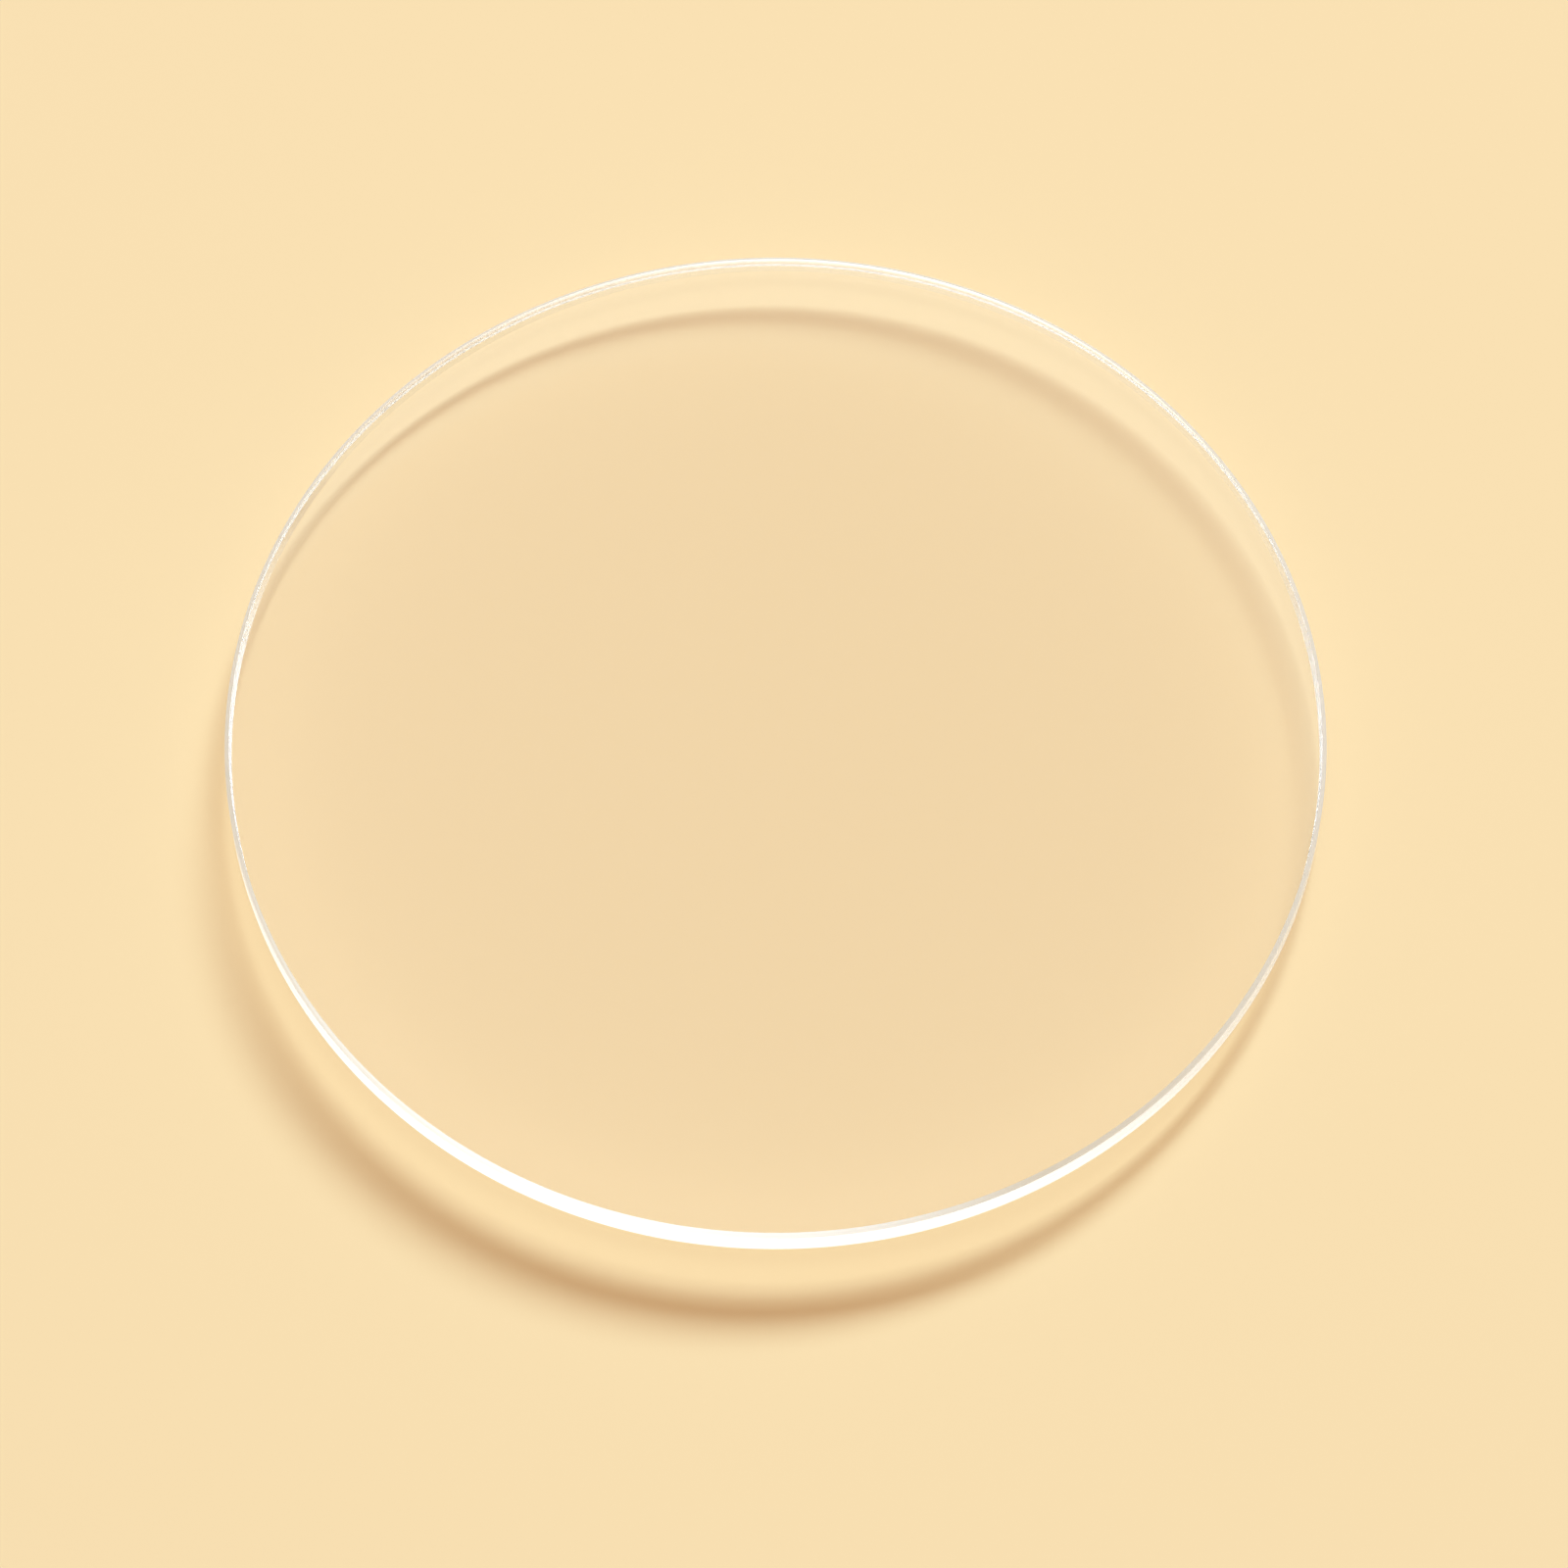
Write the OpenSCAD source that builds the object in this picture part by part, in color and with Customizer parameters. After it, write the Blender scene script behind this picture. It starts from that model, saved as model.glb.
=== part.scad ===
// Domed mineral glass watch crystal, lying on the middle of its outer face.
// The dish side, which looks at the dial in a watch, is up. Lengths are in mm.
// Origin: the point it rests on. +Z: up, along the axis of the disc.

/* [Glass] */
// Diameter of the ground outside wall, which the bezel grips
crystal_d = 38; // [24:0.1:45]
// Thickness of the glass, the same at the middle and at the rim
glass_t = 1.2; // [0.8:0.05:2]
// How far the middle of the outer face stands out past its rim
dome_rise = 0.95; // [0.4:0.05:2]

/* [Edge] */
// Bevel where the outer face meets the wall, measured along the wall and across the face
outer_bevel = 0.15; // [0.05:0.01:0.3]
// Bevel where the inner face meets the wall, measured the same way
inner_bevel = 0.15; // [0.05:0.01:0.3]

/* [Hidden] */

// Segments in a full turn about the axis, and in a full turn of each face's arc
turn_steps = 180;
arc_steps = 1440;

wall_r = crystal_d / 2;
// Both faces are parts of spheres about one centre, so the glass is as thick at the rim
outer_face_r = (wall_r * wall_r + dome_rise * dome_rise) / (2 * dome_rise);
inner_face_r = outer_face_r - glass_t;
// Heights of the two corners that the bevels take off, where each face would meet the wall
outer_corner_z = face_z(outer_face_r, wall_r);
inner_corner_z = face_z(inner_face_r, wall_r);

// Height of a face of radius face_r at the distance r from the axis
function face_z(face_r, r) = outer_face_r - sqrt(face_r * face_r - r * r);

// Half of the bent sheet that the two faces bound, as a full ring round their centre
module face_ring() {
    translate([0, outer_face_r]) difference() {
        circle(r = outer_face_r, $fn = arc_steps);
        circle(r = inner_face_r, $fn = arc_steps);
    }
}

// What the grinding of the edge leaves: a straight wall between two bevels.
// Past each bevel the outline runs on along the bevel's own slope, to the axis.
module ground_edge() {
    polygon([
        [0, outer_corner_z + outer_bevel - wall_r],
        [wall_r, outer_corner_z + outer_bevel],
        [wall_r, inner_corner_z - inner_bevel],
        [0, inner_corner_z - inner_bevel + wall_r]
    ]);
}

// The crystal: one piece of glass, its faces polished and its edge ground
module crystal() {
    color("azure", 0.35) rotate_extrude($fn = turn_steps) intersection() {
        face_ring();
        ground_edge();
    }
}

crystal();
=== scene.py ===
import math

import bpy
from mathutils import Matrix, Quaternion, Vector


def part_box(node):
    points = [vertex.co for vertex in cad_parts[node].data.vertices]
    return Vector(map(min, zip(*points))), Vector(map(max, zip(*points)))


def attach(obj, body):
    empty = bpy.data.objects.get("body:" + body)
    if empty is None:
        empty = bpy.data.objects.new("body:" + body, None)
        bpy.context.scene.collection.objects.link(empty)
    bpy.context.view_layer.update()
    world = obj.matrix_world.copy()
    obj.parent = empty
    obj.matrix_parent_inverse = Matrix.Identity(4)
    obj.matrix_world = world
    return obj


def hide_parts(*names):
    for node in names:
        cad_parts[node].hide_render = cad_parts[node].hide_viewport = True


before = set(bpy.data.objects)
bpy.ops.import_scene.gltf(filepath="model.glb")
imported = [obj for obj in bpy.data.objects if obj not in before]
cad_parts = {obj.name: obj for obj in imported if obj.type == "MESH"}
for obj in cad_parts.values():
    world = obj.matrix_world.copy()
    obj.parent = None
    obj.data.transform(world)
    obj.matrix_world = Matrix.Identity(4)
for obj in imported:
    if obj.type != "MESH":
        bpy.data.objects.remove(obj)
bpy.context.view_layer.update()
scene = bpy.context.scene


# The crystal
# One round pane of mineral glass, 38 mm across and 1.2 mm thick all over, domed to two spheres about one
# centre. Both faces are polished clear. The edge is ground straight on a wheel, with a bevel at each face.
# It is one piece and nothing is fixed to it: it lies on the middle of its outer face.
MM = 0.001
WALL_RADIUS = 19 * MM
GLASS_THICKNESS = 1.2 * MM
DOME_RISE = 0.95 * MM
BEVEL = 0.15 * MM
FACE_STEPS = 56
TURN_STEPS = 360
WELD = 0.0005 * MM
SHARP_CORNER = math.radians(20)
STEEPEST_FACE = math.cos(math.radians(20))

outer_face_radius = (WALL_RADIUS ** 2 + DOME_RISE ** 2) / (2 * DOME_RISE)
inner_face_radius = outer_face_radius - GLASS_THICKNESS
bevel_radius = WALL_RADIUS - BEVEL


def face_height(face_radius, radius):
    """The height of a face above the board, at this distance from the axis."""
    return outer_face_radius - math.sqrt(face_radius ** 2 - radius ** 2)


def add_node(tree, kind, inputs=None, **settings):
    """Adds a node with its settings. inputs gives an input, by name or place, a value or what feeds it."""
    node = tree.nodes.new(kind)
    for name, value in settings.items():
        setattr(node, name, value)
    for place, source in (inputs or {}).items():
        if isinstance(source, bpy.types.NodeSocket):
            tree.links.new(source, node.inputs[place])
        else:
            node.inputs[place].default_value = source
    return node


def linear_colour(text):
    """The linear light of an sRGB hex colour."""
    shares = [int(text[i:i + 2], 16) / 255 for i in (0, 2, 4)]
    return (*[s / 12.92 if s <= 0.04045 else ((s + 0.055) / 1.055) ** 2.4 for s in shares], 1.0)


def glass_for_light(material, seen, let_through, rays):
    """Ends a glass material. The eye gets the glass, and these kinds of ray pass straight."""
    tree = material.node_tree
    path = add_node(tree, "ShaderNodeLightPath").outputs
    clear = add_node(tree, "ShaderNodeBsdfTransparent", {"Color": let_through})
    for ray in rays:
        seen = add_node(tree, "ShaderNodeMixShader", {0: path[ray], 1: seen, 2: clear.outputs[0]}).outputs[0]
    tree.links.new(seen, tree.nodes["Material Output"].inputs["Surface"])


# Polished mineral glass: water clear and mirror smooth. It sends back a little of the room at each face, and
# light on its way to the board loses a little there, more of the blue than of the red.
GLASS_INDEX = 1.52
polished = bpy.data.materials.new("mineral_glass_polished")
polished.use_nodes = True
tree = polished.node_tree
surface = tree.nodes["Principled BSDF"]
surface.inputs["Base Color"].default_value = linear_colour("FFFFFF")
surface.inputs["Roughness"].default_value = 0.0
surface.inputs["IOR"].default_value = GLASS_INDEX
surface.inputs["Transmission Weight"].default_value = 1.0
glass_for_light(polished, surface.outputs[0], linear_colour("FBF8F4"), ("Is Shadow Ray", "Is Diffuse Ray"))

# Mineral glass ground with a fine wheel: rough glass with a satin white skin. Light that runs level in the
# pane makes the skin glow. Painted glow: the skin's white share is raised most of all on the upper bevel,
# and seen from inside the glass the foot of the wall is kept clearer than its top, standing in for light
# carried in the pane. The wheel leaves fine lines that run round the edge, drawn here about ten times as
# coarse as they are, to show.
GROUND_ROUGHNESS = 0.15
THROUGH_THE_SKIN = 0.85
LINES_PER_METRE = (90, 90, 9000)
LINES_LOW = 0.35
LINES_HIGH = 0.65
LEAST_WHITE = 0.45
MOST_WHITE = 0.6
CLEAR_UP_TO = 1.4 * MM
WHITE_FROM = 1.8 * MM
FOOT_PAINTED_GLOW = 0.2
TOP_PAINTED_GLOW = 1.5
WALL_UP_TO = 1.97 * MM
BEVEL_FROM = 2.03 * MM
BEVEL_PAINTED_GLOW = 1.9
ground = bpy.data.materials.new("mineral_glass_fine_ground")
ground.use_nodes = True
ground.cycles.use_bump_map_correction = False
tree = ground.node_tree
place = add_node(tree, "ShaderNodeTexCoord").outputs["Object"]
height = add_node(tree, "ShaderNodeSeparateXYZ", {0: place}).outputs["Z"]
facing = add_node(tree, "ShaderNodeNewGeometry").outputs
surface = tree.nodes["Principled BSDF"]
surface.inputs["Base Color"].default_value = linear_colour("FFFFFF")
surface.inputs["Roughness"].default_value = GROUND_ROUGHNESS
surface.inputs["IOR"].default_value = GLASS_INDEX
surface.inputs["Transmission Weight"].default_value = 1.0
flattened = add_node(tree, "ShaderNodeVectorMath", {0: facing["Normal"], 1: (1, 1, 0)}, operation="MULTIPLY")
level = add_node(tree, "ShaderNodeVectorMath", {0: flattened.outputs[0]}, operation="NORMALIZE")
skin_white = linear_colour("F8FCFF")
near = add_node(tree, "ShaderNodeBsdfDiffuse", {"Color": skin_white})
through = add_node(tree, "ShaderNodeBsdfTranslucent", {"Color": skin_white, "Normal": level.outputs[0]})
skin = add_node(tree, "ShaderNodeMixShader", {0: THROUGH_THE_SKIN, 1: near.outputs[0], 2: through.outputs[0]})
stretched = add_node(tree, "ShaderNodeVectorMath", {0: place, 1: LINES_PER_METRE}, operation="MULTIPLY")
lines = add_node(tree, "ShaderNodeTexNoise", {"Vector": stretched.outputs[0], "Scale": 1.0, "Detail": 2.0})
ground_white = add_node(tree, "ShaderNodeMapRange", {
    "Value": lines.outputs["Fac"],
    "From Min": LINES_LOW,
    "From Max": LINES_HIGH,
    "To Min": LEAST_WHITE,
    "To Max": MOST_WHITE,
})
# Painted glow: these masks raise the skin's white share by height, at the top of the wall seen from inside
# and on the upper bevel seen from outside.
painted_glow_from_inside = add_node(tree, "ShaderNodeMapRange", {
    "Value": height,
    "From Min": CLEAR_UP_TO,
    "From Max": WHITE_FROM,
    "To Min": FOOT_PAINTED_GLOW,
    "To Max": TOP_PAINTED_GLOW,
})
painted_glow_from_outside = add_node(tree, "ShaderNodeMapRange", {
    "Value": height,
    "From Min": WALL_UP_TO,
    "From Max": BEVEL_FROM,
    "To Min": 1.0,
    "To Max": BEVEL_PAINTED_GLOW,
})
painted_whiteness = add_node(tree, "ShaderNodeMapRange", {
    "Value": facing["Backfacing"],
    "To Min": painted_glow_from_outside.outputs[0],
    "To Max": painted_glow_from_inside.outputs[0],
})
white_share = add_node(
    tree, "ShaderNodeMath", {0: ground_white.outputs[0], 1: painted_whiteness.outputs[0]}, operation="MULTIPLY"
)
satin = add_node(
    tree, "ShaderNodeMixShader", {0: white_share.outputs[0], 1: surface.outputs[0], 2: skin.outputs[0]}
)

# The lamp's light that the ground edge stops leaves the ring of shadow, and a part of the red gets past it.
# Some of it is bent down and still reaches the board: what comes in behind over the upper part of the wall,
# what meets the wall askew at the sides, and what goes out in front at the very foot of the wall.
WALL_FOOT = 1.1 * MM
ALL_PASSES_FROM = 1.7 * MM
FOOT_PASSES_UP_TO = 1.36 * MM
FOOT_PASSES = 0.65
SQUARE_UP_TO = 0.27
ASKEW_FROM = 0.67
STOPPED = (0.22, 0.05, 0.0, 1.0)
PASSED = (0.95, 0.95, 0.95, 1.0)
over_wall = add_node(tree, "ShaderNodeMapRange", {
    "Value": height, "From Min": WALL_FOOT, "From Max": ALL_PASSES_FROM, "To Min": 0.0, "To Max": 1.0,
})
at_foot = add_node(tree, "ShaderNodeMapRange", {
    "Value": height,
    "From Min": WALL_FOOT,
    "From Max": FOOT_PASSES_UP_TO,
    "To Min": FOOT_PASSES,
    "To Max": 0.0,
})
turned_from = add_node(tree, "ShaderNodeLayerWeight").outputs["Facing"]
askew = add_node(
    tree, "ShaderNodeMapRange", {"Value": turned_from, "From Min": SQUARE_UP_TO, "From Max": ASKEW_FROM}
)
over = add_node(tree, "ShaderNodeMath", {0: askew.outputs[0], 1: facing["Backfacing"]}, operation="MAXIMUM")
bent_down = add_node(tree, "ShaderNodeMapRange", {
    "Value": over.outputs[0], "To Min": at_foot.outputs[0], "To Max": over_wall.outputs[0],
})
past_edge = add_node(
    tree, "ShaderNodeMix", {"Factor": bent_down.outputs[0], 6: STOPPED, 7: PASSED}, data_type="RGBA"
)
glass_for_light(ground, satin.outputs[0], past_edge.outputs[2], ("Is Shadow Ray",))

# The section of the glass is drawn upright from the axis out: both faces as arcs, and the bevels and the wall
# as straight lines. It is then swept round the wall's circle, which turns what points up in it to point down.
turning = bpy.data.node_groups.new("turned_pane", "GeometryNodeTree")
turning.interface.new_socket("Geometry", in_out="OUTPUT", socket_type="NodeSocketGeometry")
sizes = {
    "Wall Radius": WALL_RADIUS,
    "Wall Foot": face_height(outer_face_radius, WALL_RADIUS) + BEVEL,
    "Wall Top": face_height(inner_face_radius, WALL_RADIUS) - BEVEL,
    "Outer Face Radius": outer_face_radius,
    "Outer Face Angle": math.asin(bevel_radius / outer_face_radius),
    "Inner Face Radius": inner_face_radius,
    "Inner Face Angle": math.asin(bevel_radius / inner_face_radius),
    "Bevel": BEVEL,
    "Outer Bevel Height": face_height(outer_face_radius, bevel_radius),
    "Inner Bevel Height": face_height(inner_face_radius, bevel_radius),
}
for label in sizes:
    turning.interface.new_socket(label, in_out="INPUT", socket_type="NodeSocketFloat")
for label in ("Face Steps", "Turn Steps"):
    turning.interface.new_socket(label, in_out="INPUT", socket_type="NodeSocketInt")
for label in ("Polished", "Ground"):
    turning.interface.new_socket(label, in_out="INPUT", socket_type="NodeSocketMaterial")
given = add_node(turning, "NodeGroupInput").outputs

section = add_node(turning, "GeometryNodeJoinGeometry")
to_axis = add_node(
    turning, "ShaderNodeMath", {0: 0.0, 1: given["Wall Radius"]}, operation="SUBTRACT"
).outputs[0]
centre = add_node(turning, "ShaderNodeCombineXYZ", {"X": to_axis, "Y": given["Outer Face Radius"]}).outputs[0]
for face, from_axis in (("Inner", True), ("Outer", False)):
    arc = add_node(turning, "GeometryNodeCurveArc", {
        "Resolution": given["Face Steps"],
        "Radius": given[face + " Face Radius"],
        "Start Angle": -math.pi / 2,
        "Sweep Angle": given[face + " Face Angle"],
    }, mode="RADIUS").outputs[0]
    if not from_axis:
        arc = add_node(turning, "GeometryNodeReverseCurve", {"Curve": arc}).outputs[0]
    placed = add_node(turning, "GeometryNodeTransform", {"Geometry": arc, "Translation": centre})
    turning.links.new(placed.outputs[0], section.inputs[0])
bevel_in = add_node(turning, "ShaderNodeMath", {0: 0.0, 1: given["Bevel"]}, operation="SUBTRACT").outputs[0]
corners = []
for inset, level_name in (
    (bevel_in, "Inner Bevel Height"), (0.0, "Wall Top"), (0.0, "Wall Foot"), (bevel_in, "Outer Bevel Height")
):
    corners.append(add_node(turning, "ShaderNodeCombineXYZ", {"X": inset, "Y": given[level_name]}).outputs[0])
for start, end in zip(corners, corners[1:]):
    straight = add_node(turning, "GeometryNodeCurvePrimitiveLine", {"Start": start, "End": end})
    turning.links.new(straight.outputs[0], section.inputs[0])
upturned = add_node(turning, "GeometryNodeTransform", {"Geometry": section.outputs[0], "Scale": (1, -1, 1)})
round_path = add_node(turning, "GeometryNodeCurvePrimitiveCircle", {
    "Resolution": given["Turn Steps"], "Radius": given["Wall Radius"],
})
turned = add_node(
    turning, "GeometryNodeCurveToMesh", {"Curve": round_path.outputs[0], "Profile Curve": upturned.outputs[0]}
)
welded = add_node(turning, "GeometryNodeMergeByDistance", {"Geometry": turned.outputs[0], "Distance": WELD})
smooth = add_node(
    turning, "GeometryNodeSetShadeSmooth", {"Geometry": welded.outputs[0], "Shade Smooth": True}
)
turn_between = add_node(turning, "GeometryNodeInputMeshEdgeAngle").outputs["Unsigned Angle"]
sharp = add_node(turning, "ShaderNodeMath", {0: turn_between, 1: SHARP_CORNER}, operation="GREATER_THAN")
crisp = add_node(turning, "GeometryNodeSetShadeSmooth", {
    "Geometry": smooth.outputs[0], "Selection": sharp.outputs[0], "Shade Smooth": False,
}, domain="EDGE")
whole = add_node(turning, "GeometryNodeRealizeInstances", {"Geometry": crisp.outputs[0]})
upright = add_node(
    turning, "ShaderNodeSeparateXYZ", {0: add_node(turning, "GeometryNodeInputNormal").outputs["Normal"]}
).outputs["Z"]
size_of_upright = add_node(turning, "ShaderNodeMath", {0: upright}, operation="ABSOLUTE").outputs[0]
steep = add_node(turning, "ShaderNodeMath", {0: size_of_upright, 1: STEEPEST_FACE}, operation="LESS_THAN")
clear_all = add_node(
    turning, "GeometryNodeSetMaterial", {"Geometry": whole.outputs[0], "Material": given["Polished"]}
)
satin_edge = add_node(turning, "GeometryNodeSetMaterial", {
    "Geometry": clear_all.outputs[0], "Selection": steep.outputs[0], "Material": given["Ground"],
})
add_node(turning, "NodeGroupOutput", {0: satin_edge.outputs[0]})

blank = bpy.data.objects.new("pane_blank", bpy.data.meshes.new("pane_blank"))
scene.collection.objects.link(blank)
maker = blank.modifiers.new("turned", "NODES")
maker.node_group = turning
chosen = {**sizes, "Face Steps": FACE_STEPS, "Turn Steps": TURN_STEPS, "Polished": polished, "Ground": ground}
for socket in turning.interface.items_tree:
    if socket.in_out == "INPUT":
        maker[socket.identifier] = chosen[socket.name]
made = blank.evaluated_get(bpy.context.evaluated_depsgraph_get())
crystal = bpy.data.objects.new("crystal_glass", bpy.data.meshes.new_from_object(made))
crystal.data.name = "crystal_glass"
scene.collection.objects.link(crystal)
bpy.data.objects.remove(blank)
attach(crystal, "root")
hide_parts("crystal")


# The board
# A plain matt board in the colour of pale wood. It lies flat under the crystal and carries nothing else, and
# it reaches far enough out to fill the picture in low views too.
FLOOR_HALF = 2.0
BOARD_ROUGHNESS = 0.9
board = bpy.data.materials.new("pale_wood_matt")
board.use_nodes = True
surface = board.node_tree.nodes["Principled BSDF"]
surface.inputs["Base Color"].default_value = linear_colour("F9E0B2")
surface.inputs["Roughness"].default_value = BOARD_ROUGHNESS
surface.inputs["Specular IOR Level"].default_value = 0.0
floor_mesh = bpy.data.meshes.new("floor")
floor_corners = [(x * FLOOR_HALF, y * FLOOR_HALF, 0) for x, y in ((-1, -1), (1, -1), (1, 1), (-1, 1))]
floor_mesh.from_pydata(floor_corners, [], [(0, 1, 2, 3)])
floor_mesh.materials.append(board)
floor = bpy.data.objects.new("floor", floor_mesh)
scene.collection.objects.link(floor)


# The light
# One long soft box behind and to the right, turned askew, gives the ring of shadow, and a fill does the rest.
# On the board the two add up to white. The polished faces mirror a warm room, bright on the right and dim on
# the left, and light that reaches the eye through the edge is brighter than white, as from a window.
KEY_AZIMUTH = math.radians(20)
KEY_HEIGHT = math.radians(38)
KEY_DISTANCE = 4.0
KEY_LENGTH = 1.9
KEY_WIDTH = 0.65
KEY_TURN = math.radians(48)
KEY_GAIN = 1.03
FILL = (0.43, 0.36, 0.28)
FILL_IN_FRONT = 0.5
FILL_BEHIND = 1.5
ROOM_COLOUR = (1.0, 0.88, 0.72)
ROOM_LEFT = 0.15
ROOM_RIGHT = 1.0
DIM_UP_TO = -0.25
BRIGHT_FROM = 0.35
THROUGH_THE_EDGE = (1.2, 1.2, 1.2, 1.0)
BACKDROP_WHITE = (1.0, 1.0, 1.0, 1.0)


def way_to(azimuth, height):
    """The way to a point in the room: its turn to the right from straight behind, and its height."""
    along = math.cos(height)
    return Vector((math.sin(azimuth) * along, math.cos(azimuth) * along, math.sin(height)))


to_key = way_to(KEY_AZIMUTH, KEY_HEIGHT)
key_area = math.pi * KEY_LENGTH * KEY_WIDTH / 4
key_share = [1 - share for share in FILL]
strongest = max(key_share)
key_radiance = KEY_GAIN * strongest * math.pi * KEY_DISTANCE ** 2 / (key_area * math.sin(KEY_HEIGHT))
lamp = bpy.data.lights.new("soft_box", "AREA")
lamp.shape = "ELLIPSE"
lamp.size = KEY_LENGTH
lamp.size_y = KEY_WIDTH
lamp.energy = key_radiance * math.pi * key_area
lamp.color = [share / strongest for share in key_share]
key = bpy.data.objects.new("soft_box", lamp)
scene.collection.objects.link(key)
key.location = to_key * KEY_DISTANCE
key.rotation_mode = "QUATERNION"
key.rotation_quaternion = to_key.to_track_quat("Z", "Y") @ Quaternion((0, 0, 1), KEY_TURN)
key.visible_glossy = False
key.visible_transmission = False

world = bpy.data.worlds.new("studio")
world.use_nodes = True
scene.world = world
room = world.node_tree
way = add_node(
    room, "ShaderNodeSeparateXYZ", {0: add_node(room, "ShaderNodeTexCoord").outputs["Generated"]}
).outputs
behind = add_node(room, "ShaderNodeMapRange", {
    "Value": way["Y"], "From Min": -1.0, "From Max": 1.0, "To Min": FILL_IN_FRONT, "To Max": FILL_BEHIND,
})
fill = add_node(room, "ShaderNodeVectorMath", {0: FILL, "Scale": behind.outputs[0]}, operation="SCALE")
rightwards = add_node(room, "ShaderNodeMapRange", {
    "Value": way["X"],
    "From Min": DIM_UP_TO,
    "From Max": BRIGHT_FROM,
    "To Min": ROOM_LEFT,
    "To Max": ROOM_RIGHT,
})
mirrored = add_node(
    room, "ShaderNodeVectorMath", {0: ROOM_COLOUR, "Scale": rightwards.outputs[0]}, operation="SCALE"
)
path = add_node(room, "ShaderNodeLightPath").outputs
shown = fill.outputs[0]
for ray, colour in (
    ("Is Glossy Ray", mirrored.outputs[0]),
    ("Is Transmission Ray", THROUGH_THE_EDGE),
    ("Is Camera Ray", BACKDROP_WHITE),
):
    by_ray = add_node(room, "ShaderNodeMix", {"Factor": path[ray], 6: shown, 7: colour}, data_type="RGBA")
    shown = by_ray.outputs[2]
room.links.new(shown, room.nodes["Background"].inputs["Color"])


# The camera
# It stands in front and looks down, at the photograph's angle and with the disc at the photograph's size.
# Light may turn often enough inside the glass to find its way out.
FRAME_PX = 1600
DISC_PX = 1119.5
DISC_CENTRE_PX = (791.5, 756.5)
CAMERA_HEIGHT = math.radians(63.3)
FIELD = math.radians(14)
NEAREST_SEEN = 10 * MM
FARTHEST_SEEN = 10
MOST_TURNS = 48
lens = bpy.data.cameras.new("camera")
lens.angle = FIELD
lens.clip_start = NEAREST_SEEN
lens.clip_end = FARTHEST_SEEN
camera = bpy.data.objects.new("camera", lens)
scene.collection.objects.link(camera)
back = Vector((0, -math.cos(CAMERA_HEIGHT), math.sin(CAMERA_HEIGHT)))
right = Vector((1, 0, 0))
up = back.cross(right)
metres_per_px = 2 * WALL_RADIUS / DISC_PX
aim = Vector((0, 0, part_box("crystal")[1][2] / 2))
aim -= right * (DISC_CENTRE_PX[0] - FRAME_PX / 2) * metres_per_px
aim += up * (DISC_CENTRE_PX[1] - FRAME_PX / 2) * metres_per_px
camera.location = aim + back * FRAME_PX * metres_per_px / 2 / math.tan(FIELD / 2)
camera.rotation_mode = "QUATERNION"
camera.rotation_quaternion = back.to_track_quat("Z", "Y")
scene.camera = camera

scene.view_settings.view_transform = "Standard"
scene.cycles.max_bounces = MOST_TURNS
scene.cycles.transmission_bounces = MOST_TURNS
scene.cycles.glossy_bounces = MOST_TURNS
